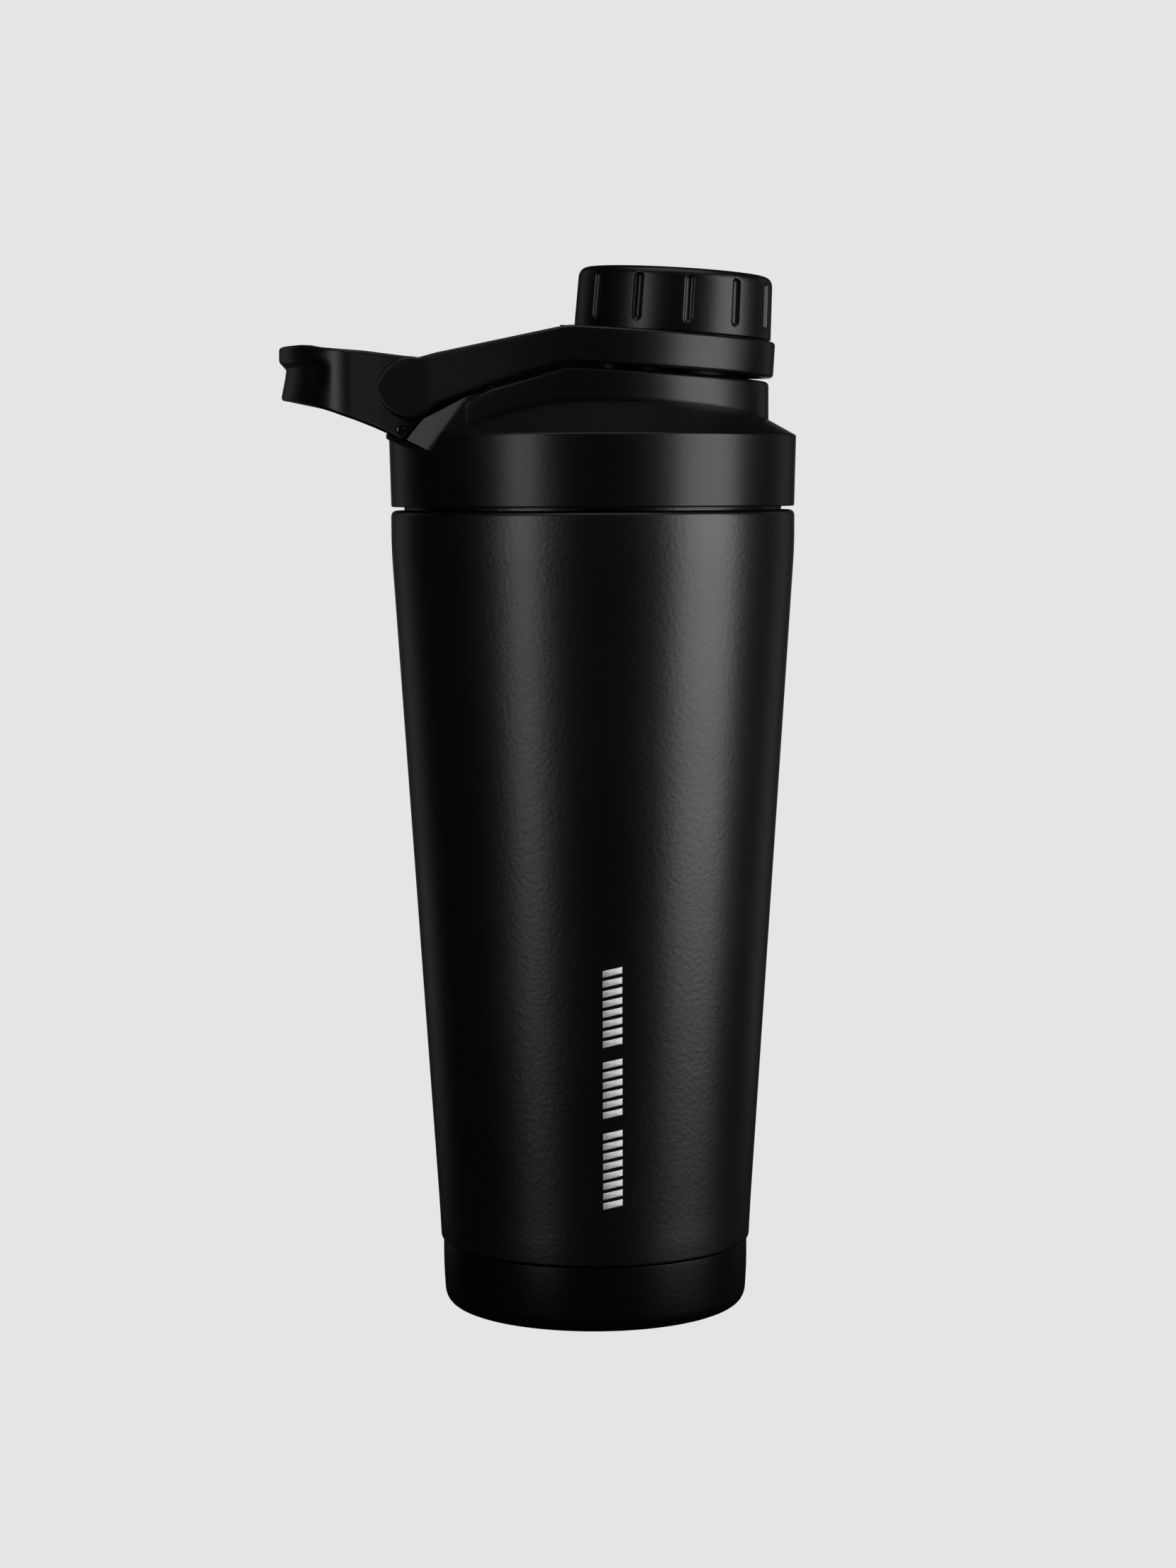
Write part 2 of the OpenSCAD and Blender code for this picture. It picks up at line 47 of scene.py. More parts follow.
def makePiece(name, grids, body, material, stands=()):
    # each grid is (points u by v by 3 in mm, wrapU, wrapV, poleStart, poleEnd);
    # a pole column is one shared vertex, and a wrap joins the last row to the first
    verts, tris, quads, base = [], [], [], 0
    for points, wrapU, wrapV, poleStart, poleEnd in grids:
        nu, nv = points.shape[:2]
        index = np.arange(nu * nv).reshape(nu, nv)
        if poleStart:
            index[:, 0] = index[0, 0]
        if poleEnd:
            index[:, -1] = index[0, -1]
        used, flat = np.unique(index, return_inverse=True)
        index = flat.reshape(nu, nv)
        if wrapU:
            index = np.vstack([index, index[:1]])
        if wrapV:
            index = np.hstack([index, index[:, :1]])
        a, b, c, d = index[:-1, :-1], index[1:, :-1], index[1:, 1:], index[:-1, 1:]
        faces = np.stack([a, b, c, d], -1).reshape(-1, 4)
        points = points.reshape(-1, 3)[used]
        thin0, thin1 = faces[:, 0] == faces[:, 1], faces[:, 2] == faces[:, 3]
        full = faces[~thin0 & ~thin1]
        three = np.vstack([faces[thin0][:, [0, 2, 3]], faces[thin1][:, [0, 1, 2]]])
        every = np.vstack([full[:, [0, 1, 2]], full[:, [0, 2, 3]], three])
        p = points[every]
        volume = np.einsum("ij,ij->i", p[:, 0], np.cross(p[:, 1], p[:, 2])).sum()
        if volume < 0:
            full, three = full[:, ::-1], three[:, ::-1]
        verts.append(points)
        quads.append(full + base)
        tris.append(three + base)
        base += len(points)
    verts, quads, tris = np.vstack(verts) * mm, np.vstack(quads), np.vstack(tris)
    mesh = bpy.data.meshes.new(name)
    mesh.vertices.add(len(verts))
    mesh.vertices.foreach_set("co", verts.ravel())
    mesh.loops.add(quads.size + tris.size)
    mesh.loops.foreach_set("vertex_index", np.concatenate([quads.ravel(), tris.ravel()]))
    sizes = np.concatenate([np.full(len(quads), 4), np.full(len(tris), 3)])
    mesh.polygons.add(len(sizes))
    mesh.polygons.foreach_set("loop_start", np.concatenate([[0], np.cumsum(sizes)[:-1]]))
    mesh.polygons.foreach_set("use_smooth", np.ones(len(sizes), bool))
    mesh.update(calc_edges=True)
    mesh.validate()
    piece = bpy.data.objects.new(name, mesh)
    bpy.context.scene.collection.objects.link(piece)
    mesh.materials.append(material)
    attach(piece, body)
    if stands:
        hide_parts(*stands)
    print("made", name, len(verts), "vertices")


def rounded(points, radius, steps=5, closed=False):
    # each corner becomes a quadratic curve between points at its radius along both sides
    p = np.array(points, float)
    n = len(p)
    r = np.broadcast_to(np.asarray(radius, float), (n,))
    t = np.linspace(0, 1, steps)[:, None]
    out = []
    for i in range(n):
        if not closed and i in (0, n - 1) or r[i] <= 0:
            out.append(p[i:i + 1])
            continue
        toPrev, toNext = p[i - 1] - p[i], p[(i + 1) % n] - p[i]
        lp, ln = np.linalg.norm(toPrev), np.linalg.norm(toNext)
        reach = min(r[i], 0.49 * lp, 0.49 * ln)
        start, end = p[i] + toPrev / lp * reach, p[i] + toNext / ln * reach
        out.append((1 - t) ** 2 * start + 2 * t * (1 - t) * p[i] + t ** 2 * end)
    return np.vstack(out)


def dense(path, step, closed=False):
    # points added along each straight so that none is longer than the step
    p = np.vstack([path, path[:1]]) if closed else path
    parts = [np.linspace(a, b, max(1, math.ceil(np.linalg.norm(b - a) / step)), endpoint=False)
             for a, b in zip(p[:-1], p[1:])]
    return np.vstack(parts + ([] if closed else [p[-1:]]))


def lathe(profile, segments=240):
    # x = r cos a, y = r sin a, z = z for each point of a profile of radius and height
    angle = np.linspace(0, tau, segments, endpoint=False)[:, None]
    r, z = profile[:, 0][None], profile[:, 1][None]
    return np.stack([r * np.cos(angle), r * np.sin(angle), z + 0 * angle], -1)


def onDeck(local):
    # local points leaned by 3.5 degrees about Y and set on the deck at the spout
    x, y, z = local[..., 0], local[..., 1], local[..., 2]
    c, s = math.cos(lean), math.sin(lean)
    origin = collarTop + planeZ(spoutX)
    return np.stack([spoutX + x * c + z * s, y, origin - x * s + z * c], -1)


def helix(radius, z0, pitch, turns, height, steps=160):
    # a trapezoid section carried along the circle z = z0 + pitch a / 2 pi, dying out at both ends
    t = np.linspace(0, 1, steps)[:, None]
    a = tau * turns * t
    swell = np.clip(np.minimum(t, 1 - t) * 12, 0.03, 1)
    section = np.array([[-0.2, -1.1], [0.55, -0.75], [0.9, -0.4], [1, 0], [0.9, 0.4], [0.55, 0.75],
                        [-0.2, 1.1]])
    depth = np.where(section[:, 0] > 0, section[:, 0] * height, section[:, 0])[None] * swell
    r = radius + depth
    z = z0 + pitch * turns * t + section[:, 1][None] * (0.5 + 0.5 * swell)
    return np.stack([r * np.cos(a), r * np.sin(a), z], -1)


def capped(ring):
    # a tube of rings closed by a pole at each end; rings run along axis 0
    first, last = ring[:1].mean(1, keepdims=True), ring[-1:].mean(1, keepdims=True)
    first = np.repeat(first, ring.shape[1], 1)
    last = np.repeat(last, ring.shape[1], 1)
    return np.swapaxes(np.concatenate([first, ring, last]), 0, 1)


def ovalHalf(a, b, r, n=28):
    # front half of an oval: an end arc of radius r, then a side arc out to the half width b
    s = ((a - r) ** 2 + b * b - r * r) / (2 * (b - r))
    turn = math.atan2(s - b, a - r)
    t1, t2 = np.linspace(0, turn, n), np.linspace(turn, math.pi / 2, n)[1:]
    end = np.stack([a - r + r * np.cos(t1), r * np.sin(t1)], -1)
    side = np.stack([s * np.cos(t2), b - s + s * np.sin(t2)], -1)
    return np.vstack([end, side])


def mirrored(half):
    # a half outline from the nose round to the back, with its mirror image before it
    return np.vstack([half[::-1] * [1, -1], half[1:]])


def radial(outline, centre, angle):
    # distance from the centre to a closed outline in each direction
    d = outline - centre
    a, r = np.arctan2(d[:, 1], d[:, 0]), np.hypot(d[:, 0], d[:, 1])
    order = np.argsort(a)
    return np.interp(angle, a[order], r[order], period=tau)


def sideways(path):
    # unit normals of an open path, to its left
    t = np.gradient(path, axis=0)
    t /= np.linalg.norm(t, axis=1, keepdims=True)
    return np.stack([-t[:, 1], t[:, 0]], -1)


def linear(hexColour):
    # sRGB hex to linear light
    c = np.array([int(hexColour[i:i + 2], 16) for i in (0, 2, 4)]) / 255
    c = np.where(c <= 0.04045, c / 12.92, ((c + 0.055) / 1.055) ** 2.4)
    return (*c.tolist(), 1.0)


def add(tree, kind, values=None, links=None, **settings):
    # one node with its settings, socket values and incoming links
    node = tree.nodes.new(kind)
    for key, value in settings.items():
        setattr(node, key, value)
    for key, value in (values or {}).items():
        node.inputs[key].default_value = value
    for key, source in (links or {}).items():
        tree.links.new(source, node.inputs[key])
    return node


def finish(name, colour, second, roughness, spread, grains, metal=0.0, gloss=0.5, blotch=40):
    # two close colours mixed by soft blotches (size in mm), and roughness varies with them;
    # each grain is (size in mm, height in mm), read from object coordinates
    material = bpy.data.materials.new(name)
    material.use_nodes = True
    tree = material.node_tree
    tree.nodes.clear()
    place = add(tree, "ShaderNodeTexCoord").outputs["Object"]
    soft = add(tree, "ShaderNodeTexNoise", {"Scale": 1000 / blotch, "Detail": 3.0}, {"Vector": place})
    mix = add(tree, "ShaderNodeMix", {6: linear(colour), 7: linear(second)}, {0: soft.outputs["Fac"]},
              data_type="RGBA")
    rough = add(tree, "ShaderNodeMapRange", {"From Min": 0.3, "From Max": 0.7, "To Min": roughness - spread,
                                             "To Max": roughness + spread}, {"Value": soft.outputs["Fac"]})
    normal = {}
    for size, height in grains:
        noise = add(tree, "ShaderNodeTexNoise", {"Scale": 1000 / size, "Detail": 1.5, "Roughness": 0.45},
                    {"Vector": place})
        bump = add(tree, "ShaderNodeBump", {"Strength": 1.0, "Distance": height * mm},
                   {"Height": noise.outputs["Fac"], **normal})
        normal = {"Normal": bump.outputs["Normal"]}
    shader = add(tree, "ShaderNodeBsdfPrincipled", {"Metallic": metal, "Specular IOR Level": gloss},
                 {"Base Color": mix.outputs[2], "Roughness": rough.outputs["Result"], **normal})
    add(tree, "ShaderNodeOutputMaterial", links={"Surface": shader.outputs["BSDF"]})
    return material


# the fine grains below are drawn coarser than the real ones, so that they show
# polyester powder baked on steel: satin, with the orange-peel ripple of the melt
orangePeel = [(1.1, 0.035), (0.5, 0.012)]
powderCoat = finish("bakedPowderCoat", "050506", "080809", 0.33, 0.02, orangePeel, gloss=0.55)
# the same powder as the body, a shade darker and far less glossy: painted shade for the foot, which takes
# little light
footShadeCoat = finish("powderCoatPaintedShade", "040405", "070708", 0.36, 0.02, orangePeel, gloss=0.12)
# polypropylene from a spark-eroded mould: even fine texture, satin to matt
mouldedPp = finish("texturedPolypropylene", "060607", "0a0a0b", 0.32, 0.02, [(0.6, 0.012)], gloss=0.37)
# unpainted polypropylene of the inner pieces
innerPp = finish("innerPolypropylene", "1b1b1d", "202022", 0.46, 0.04, [(0.6, 0.01)])
# electropolished stainless steel: bright, faintly cloudy
stainless = finish("electropolishedSteel", "b9b6b2", "c4c1bd", 0.24, 0.05, [(0.5, 0.004)], metal=1.0)
# drawn pin stock, ground smooth
pinSteel = finish("groundPinSteel", "8d8b88", "9a9895", 0.3, 0.05, [(0.4, 0.003)], metal=1.0)
# black-oxide steel pin: dark and glossy
stopPin = finish("blackOxideSteel", "101011", "161617", 0.12, 0.03, [(0.4, 0.004)])
# compression-moulded silicone rubber: matt, slightly dusty
silicone = finish("mouldedSilicone", "1c1c1e", "232325", 0.62, 0.05, [(0.7, 0.012)])
# pressed and sintered getter powder
getterAlloy = finish("sinteredGetter", "77756f", "86847e", 0.7, 0.06, [(0.6, 0.03)])
# pad-printed white epoxy ink: thin and matt
padInk = finish("padPrintedInk", "fbfbf9", "ffffff", 0.5, 0.04, [(0.5, 0.006)])


shell = {"seam": 15.45, "seamR": 34.3, "edgeR": 35.62, "lowZ": 16.0, "lowR": 35.55, "taperTop": 174.5,
         "bodyR": 45.9, "bodyTop": 182.8, "neckR": 42.3, "beadR": 42.9, "rim": 195.2, "wall": 0.8}


def bodyRadius(z):
    # r runs straight from lowR at the foot to bodyR at the shoulder, then stays
    return np.interp(z, [shell["lowZ"], shell["taperTop"]], [shell["lowR"], shell["bodyR"]])


neckTop = shell["rim"] - 0.95           # the rolled lip of the inner vessel lies above it
insideR = shell["bodyR"] - shell["wall"]
outer = rounded([[shell["seamR"], shell["seam"]], [shell["edgeR"], shell["seam"]],
                 [float(bodyRadius(24)), 24], [float(bodyRadius(100)), 100],
                 [shell["bodyR"], shell["taperTop"]], [shell["bodyR"], shell["bodyTop"]],
                 [shell["beadR"], shell["bodyTop"]], [shell["beadR"], shell["bodyTop"] + 1.4],
                 [shell["neckR"], shell["bodyTop"] + 2.1], [shell["neckR"], neckTop]],
                [0, 0.55, 3, 3, 14, 1.9, 0.15, 0.3, 0.3, 0], 8)
inner = np.array([[shell["neckR"] - shell["wall"], neckTop],
                  [shell["neckR"] - shell["wall"], shell["bodyTop"] - shell["wall"]],
                  [insideR - 0.5, shell["bodyTop"] - 1.2], [insideR, shell["bodyTop"] - 3],
                  [insideR, shell["taperTop"]], [shell["lowR"] - shell["wall"], shell["lowZ"]]])
makePiece("bodyShell", [(lathe(dense(np.vstack([outer, inner]), 6), 288), True, True, False, False)],
          "bottle", powderCoat, ["outer_shell"])
thread = helix(shell["neckR"], shell["bodyTop"] + 4.6, 4, 1.4, 0.9)
makePiece("neckThread", [(capped(thread), True, False, True, True)], "bottle", powderCoat)

foot = {"r": 35.1, "corner": 4.6, "h": 15.2, "standR": 27.2, "recessR": 21.3, "spigotR": 33.9,
        "spigot": 3.4, "wall": 0.8}
spigotIn, spigotTop = foot["spigotR"] - foot["wall"], foot["h"] + foot["spigot"]
outer = rounded([[0, 2.62], [foot["recessR"], 2.62], [foot["recessR"], 1.25], [27, 1.25],
                 [foot["standR"], 0],
                 [foot["r"] - 0.5, 0], [foot["r"], 9], [foot["r"], foot["h"]], [foot["spigotR"], foot["h"]],
                 [foot["spigotR"], spigotTop]],
                [0, 0.2, 0.1, 0.2, 1.0, foot["corner"], 5, 0.4, 0.1, 0], 9)
inner = np.array([[spigotIn, spigotTop], [spigotIn, foot["h"] - 1.6], [34.1, foot["h"] - 2.6], [34.1, 6],
                  [30, 2.3], [26, 2.3], [22.3, 3.5], [0, 3.5]])
profile = dense(np.vstack([outer, inner]), 3)
# the foot cup takes the darker, duller copy of the powder coat as painted shade
makePiece("footCup", [(lathe(profile, 240), True, False, True, True)], "bottle", footShadeCoat,
          ["foot_cup"])

# white marks up the front: plain slanted bars in three groups
mark = {"x": 3.9, "width": 4.3, "bar": 1.45, "slant": 0.9, "pitch": 2.25,
        "groups": [(28.6, 8), (49.2, 6), (65.2, 8)], "proud": 0.05, "sunk": 0.2}
starts = np.concatenate([low + mark["pitch"] * np.arange(count) for low, count in mark["groups"]])
bars = []
for low in starts:
    u, v = np.meshgrid(np.linspace(-0.5, 0.5, 9), np.linspace(0, 1, 5), indexing="ij")
    x = mark["x"] + u * mark["width"]
    z = low + v * mark["bar"] + (u + 0.5) * mark["slant"]
    r = bodyRadius(z)
    face = lambda lift: np.stack([x, -np.sqrt((r + lift) ** 2 - x * x), z], -1)
    top, under = face(mark["proud"]), face(-mark["sunk"])
    ringTop = np.concatenate([top[:, 0], top[-1, 1:], top[::-1, -1][1:], top[0, ::-1][1:-1]])
    ringUnder = np.concatenate([under[:, 0], under[-1, 1:], under[::-1, -1][1:], under[0, ::-1][1:-1]])
    centreTop = np.repeat(top[4:5, 2], len(ringTop), 0)
    centreUnder = np.repeat(under[4:5, 2], len(ringTop), 0)
    bars.append((np.stack([centreTop, ringTop, ringUnder, centreUnder], 1), True, False, True, True))
makePiece("printMark", bars, "bottle", padInk)
print("bottle done")


lid = {"low": 183.6, "lowR": 45.85, "topR": 46.25, "rise": 0.56, "boreR": 45.0, "roof": 198.3,
       "nose": 40.0, "half": 33.0, "endR": 27.0, "edge": 0.9, "deck": 12.0}
fallX = [-60, -48, -36.4, -31.7, -27, -22.4, -13, -6.8, -5.7, -4.4, 50]

def planeZ(x):
    # the leaning plane, z = deck + (nose - x) tan(lean), over the collar's top
    return lid["deck"] + (lid["nose"] - x) * math.tan(lean)


fallZ = [-3.5, -0.9, 3.8, 5.7, 7.6, 9.9, 12.5, planeZ(-5.7) - 0.45, planeZ(-5.7) - 0.15, planeZ(-4.4),
         planeZ(50)]


def deckZ(x):
    # height of the lid's top at x: the leaning plane, then straight falls to the hinge
    return collarTop + np.interp(x, fallX, fallZ)


outer = rounded([[lid["boreR"], lid["low"]], [lid["lowR"], lid["low"]], [lid["topR"], collarTop],
                 [28, collarTop + lid["rise"] * (lid["topR"] - 28)]], [0, 0.9, 0.35, 0], 7)
under = np.array([[28, 207.6], [31, 205.6], [38.5, 201.4], [38.5, lid["roof"]], [lid["boreR"], lid["roof"]]])
profile = dense(np.vstack([outer, under]), 1.5)
cone = lathe(profile, 300)
isUnder = (np.arange(len(profile)) >= len(dense(outer, 1.5)))[None]
cone[..., 2] = np.minimum(cone[..., 2], deckZ(cone[..., 0]) - np.where(isUnder, wallLid, 0.02))
cone[..., 2] = np.maximum(cone[..., 2], np.where(isUnder & (cone[..., 2] < lid["roof"] - 0.01)
                          & (profile[:, 1] >= lid["roof"])[None], lid["roof"], cone[..., 2]))
makePiece("lidCollar", [(cone, True, True, False, False)], "lid", mouldedPp, ["lid_shell"])


def deckPlan(inset):
    # oval nose, then straight flanks that close in at the hinge, and a straight back, all set in
    half = ovalHalf(lid["nose"] - inset, lid["half"] - inset, lid["endR"] - inset)
    flank = np.array([[-10, -0.05], [-20, -0.2], [-28, -0.5], [-33, -2.4], [-37, -4.9]])
    flank = np.stack([flank[:, 0] + [0, 0, inset, inset, inset], lid["half"] - inset + flank[:, 1]], -1)
    half = dense(np.vstack([half, flank, [[-37 + inset, 0]]]), 1.2)
    return mirrored(half)


angle = np.linspace(-math.pi, math.pi, 420, endpoint=False)
away = np.stack([np.cos(angle), np.sin(angle)], -1)
centre = np.array([spoutX, 0.0])
spout = {"h": 14.2, "outR": 15.2, "inR": 13.4, "lip": 0.9, "root": 1.1}
tube = rounded([[spout["inR"], -2.1], [spout["inR"], spout["h"]], [spout["outR"], spout["h"]],
               [spout["outR"], 0], [spout["outR"] + 1.4, 0]],
               [0, spout["lip"], spout["lip"], spout["root"], 0], 7)
tube = dense(tube, 1.6)
rings = [onDeck(np.stack([r * away[:, 0], r * away[:, 1], 0 * angle + z], -1)) for r, z in tube]
rimRing = rings[-1]
edgeDist = radial(deckPlan(0), centre, angle)
flat = radial(deckPlan(lid["edge"]), centre, angle)
start = np.hypot(rimRing[:, 0] - spoutX, rimRing[:, 1])
for t in np.linspace(0, 1, 40)[1:]:
    d = start + (flat - start) * t
    xy = centre + away * d[:, None]
    rings.append(np.column_stack([xy, deckZ(xy[:, 0])]))
for turn in np.linspace(0, math.pi / 2, 6)[1:]:
    d = flat + (edgeDist - flat) * math.sin(turn)
    xy = centre + away * d[:, None]
    rings.append(np.column_stack([xy, deckZ(xy[:, 0]) - lid["edge"] * (1 - math.cos(turn))]))
xy = centre + away * edgeDist[:, None]
coneZ = collarTop + lid["rise"] * (lid["topR"] - np.hypot(xy[:, 0], xy[:, 1]))
wallTop = rings[-1][:, 2]
wallFoot = np.minimum(coneZ - 1.2, wallTop - 0.3)
for t in (0.3, 0.65, 1):
    rings.append(np.column_stack([xy, wallTop + (wallFoot - wallTop) * t]))
insideDist = radial(deckPlan(wallLid), centre, angle)
xy = centre + away * insideDist[:, None]
lowEdge = np.minimum(wallFoot, deckZ(xy[:, 0]) - wallLid - 0.2)
rings.append(np.column_stack([xy, lowEdge]))
rings.append(np.column_stack([xy, deckZ(xy[:, 0]) - wallLid - 0.1]))
for t in np.linspace(0, 1, 12)[1:]:
    d = insideDist + (spout["inR"] + 0.6 - insideDist) * t
    xy = centre + away * d[:, None]
    rings.append(np.column_stack([xy, deckZ(xy[:, 0]) - wallLid - 0.1]))
makePiece("lidDeck", [(np.stack(rings, 1), True, True, False, False)], "lid", mouldedPp)
thread = helix(spout["outR"], 4.8, 4, 1.3, 1.0)
makePiece("spoutThread", [(capped(onDeck(thread)), True, False, True, True)], "lid", mouldedPp)


def slab(outline, inner, outerY, edge, side, corner=0.6, fan=4, step=0.8):
    # a side outline in x and z drawn between two y faces; the outer one may slope, and its
    # rim is rounded by drawing the outline in towards its middle
    line = dense(rounded(outline, corner, 5, True), step, True)
    middle = line.mean(0)
    toward = middle - line
    dist = np.linalg.norm(toward, axis=1, keepdims=True)
    toward /= dist
    cols = []
    for turn in np.linspace(0, math.pi / 2, 5):
        p = line + toward * edge * (1 - math.cos(turn))
        y = outerY(p[:, 0], p[:, 1]) - edge * (1 - math.sin(turn))
        cols.append(np.column_stack([p[:, 0], y, p[:, 1]]))
    for t in np.linspace(0, 1, fan + 1)[1:]:
        p = line + toward * (edge + (dist - edge) * t)
        cols.append(np.column_stack([p[:, 0], outerY(p[:, 0], p[:, 1]), p[:, 1]]))
    cols = cols[::-1]
    flatInner = np.column_stack([line[:, 0], 0 * line[:, 0] + inner, line[:, 1]])
    pole = np.repeat([[middle[0], inner, middle[1]]], len(line), 0)
    grid = np.stack(cols + [flatInner, pole], 1) + [0, 0, collarTop]
    grid[..., 1] *= side
    return (grid, True, False, True, True)


def facetY(x, z):
    # y = the lesser of two planes, facet = 32.3 + 0.27 (x + 33.2) - 0.18 (z - 0.3) and
    # flank = 32.3 + 0.03 (x + 33.2), joined by a small curve
    facet = 32.3 + 0.27 * (x + 33.2) - 0.18 * (z - 0.3)
    flank = 32.3 + 0.03 * (x + 33.2)
    return (facet + flank) / 2 - np.sqrt(((facet - flank) / 2) ** 2 + 0.06 ** 2)


def gussetY(x, z):
    # y = 32.3 - 0.058 (x + 33.2) + 0.009 (z - 0.3), from the facet's foot to the collar
    return 32.3 - 0.058 * (x + 33.2) + 0.009 * (z - 0.3)


bracket = {"lugIn": 20.4, "lugOut": 23.6, "lugR": 11.2, "root": 23.1}
lugTurn = np.radians(np.linspace(147.5, 256, 16))
lugArc = np.stack([hingeX + bracket["lugR"] * np.cos(lugTurn),
                   hingeUp + bracket["lugR"] * np.sin(lugTurn)], -1)
lugLine = np.vstack([[[-20, hingeUp], [-26, 11.6], [-38, 16.2]], lugArc, [[-36, -3.8], [-30, -3.8]]])
facetLine = [[-24.4, 8.9], [-27.9, 8.1], [-37.1, 3.5], [-38.9, 1.4], [-40.8, -1.1], [-35.5, -3.7],
             [-33.1, 0.3], [-28.5, 1.2], [-24.5, 3.0]]
gussetLine = [[-35.5, -3.7], [-33.2, 0.3], [-32.8, 0.2], [-32.8, -5.5]]
stripLine = [[-45.4, 0.4], [-41, -1.4], [-35.3, -3.7], [-31, -5.6], [-31, -7], [-35.5, -5.2],
             [-41.2, -2.7], [-45.4, -0.8]]
parts = []
for side in (-1, 1):
    parts.append(slab(lugLine, bracket["lugIn"], lambda x, z: 0 * x + bracket["lugOut"], 0.3, side))
    parts.append(slab(facetLine, bracket["root"], facetY, 0.15, side, 0.12, 40, 0.25))
    parts.append(slab(gussetLine, bracket["root"], gussetY, 0.12, side, 0.05))
    parts.append(slab(stripLine, bracket["root"], lambda x, z: 0 * x + 27, 0.25, side, 0.25))
makePiece("hingeBracket", parts, "lid", mouldedPp)
print("lid done")


def band(path, normal, low, high, face, thick, edge, around=(14, 10)):
    # each section goes round the outer face, top edge, inner face and bottom edge, its edges as
    # quarter circles of radius e; a point d deep stands at path + normal (d + face (1 - d / thick))
    e = np.minimum(edge, 0.48 * (high - low))[:, None]
    turn = np.linspace(0, math.pi / 2, 6)[None]
    thick = np.broadcast_to(thick, (len(path),))[:, None]
    lowE, highE = low[:, None] + e, high[:, None] - e
    outerZ = lowE + (highE - lowE) * np.linspace(0, 1, around[0])
    innerZ = lowE + (highE - lowE) * np.linspace(1, 0, around[1])[1:]
    z = np.hstack([outerZ, highE + e * np.sin(turn[:, 1:]), highE + e * np.cos(turn), innerZ,
                   lowE - e * np.sin(turn[:, 1:]), lowE - e * np.cos(turn[:, :-1])])
    d = np.hstack([0 * outerZ, e * (1 - np.cos(turn[:, 1:])), thick - e * (1 - np.sin(turn)),
                   thick + 0 * innerZ, thick - e * (1 - np.cos(turn[:, 1:])),
                   e * (1 - np.sin(turn[:, :-1]))])
    inset = face(path[:, :1] + 0 * z, z)
    share = np.clip(1 - d / thick, 0, 1)
    d = d + inset * share
    x = path[:, :1] + normal[:, :1] * d
    y = path[:, 1:] + normal[:, 1:] * d
    return np.stack([x, y, z + collarTop], -1)


loop = {"side": 28.0, "eyeR": 7.0, "edge": 0.8}
corner = np.radians(np.linspace(90, 139.2, 22))
end = np.radians(np.linspace(139.2, 180, 26))[1:]
nearEye = hingeX + loop["eyeR"] * np.cos(np.radians(np.linspace(0, 88, 26)))
half = np.vstack([np.column_stack([nearEye, 0 * nearEye + loop["side"]]), [[-41, loop["side"]]],
                  dense(np.array([[-42.0, 27.95], [-46, 27.45], [-53, 26.45]]), 0.9),
                  np.stack([-53 + 13 * np.cos(corner), 13.4 + 13 * np.sin(corner)], -1)[1:],
                  np.stack([-37.5 + 33.5 * np.cos(end), 33.5 * np.sin(end)], -1)])
half[0, 0] -= 0.01
path = np.vstack([half, (half * [1, -1])[-2::-1]])
normal = -sideways(path)
normal *= np.sign(((np.array([-50, 0]) - path) * normal).sum(1))[:, None]
flatPart = path[:, 0] > -50
normal[flatPart, 0] = 0
normal[flatPart, 1] = -np.sign(path[flatPart, 1])
px = path[:, 0]
eye = np.sqrt(np.clip(loop["eyeR"] ** 2 - (px - hingeX) ** 2, 1e-4, None))
inEye = np.abs(px - hingeX) < loop["eyeR"]
high = np.interp(px, [-71.1, -65, -62, -50, -40.2], [20.1, 20.1, 19.5, 18.5, 17.18])
high = np.where(px > -40.2, hingeUp + eye, np.maximum(high, np.where(inEye, hingeUp + eye, -99)))
low = np.interp(px, [-70.6, -62.3, -57.5, -52.8, -48.1, -45, -41.8, -40.95, -38.9, -37.3, -36.5, -36],
                [8.1, 6.5, 5.1, 3.5, 1.7, 0.3, -1.5, -1.1, 1.5, 3.5, 6, 10])
low = np.where(px > -36.4, hingeUp - eye, np.minimum(low, np.where(inEye, hingeUp - eye, 99)))


def loopFace(x, z):
    # how far the side is set in: nothing at the lip, most below it, less again at the bottom edge,
    # fading in over 7 mm of x as 3 t^2 - 2 t^3
    fade = np.clip((-57 - x) / 7, 0, 1)
    fade = fade * fade * (3 - 2 * fade)
    return fade * np.interp(z, [7.5, 9, 13.2, 15.0, 16.6, 17.1, 20.1], [0.35, 0.5, 1.35, 1.6, 0.15, 0, 0])


thick = np.interp(px, [-54.6, -51.8, -42, -33], [3.8, 2.75, 4.0, 4.0])
ring = band(path, normal, low, high, loopFace, thick, loop["edge"], (34, 10))
makePiece("carryLoop", [(capped(ring), True, False, True, True)], "loop", mouldedPp,
          ["carry_loop"])

# stop pins: dome-headed, pressed through the loop's sides below the hinge
stop = {"r": 0.98, "x": -42.2, "z": 1.16, "inner": 22.5, "outer": 28.05, "dome": 0.4}
bow = np.linspace(0, math.pi / 2, 9)
profile = np.vstack([[[0, stop["inner"]], [stop["r"], stop["inner"]]],
                     np.column_stack([stop["r"] * np.cos(bow), stop["outer"] + stop["dome"] * np.sin(bow)])])
turned = lathe(profile, 64)
parts = []
for side in (-1, 1):
    pin = np.stack([stop["x"] + turned[..., 0], side * turned[..., 2],
                    collarTop + stop["z"] + turned[..., 1]], -1)
    parts.append((pin, True, False, True, True))
makePiece("stopPins", parts, "loop", stopPin, ["stop_pin_front", "stop_pin_back"])
print("loop done")


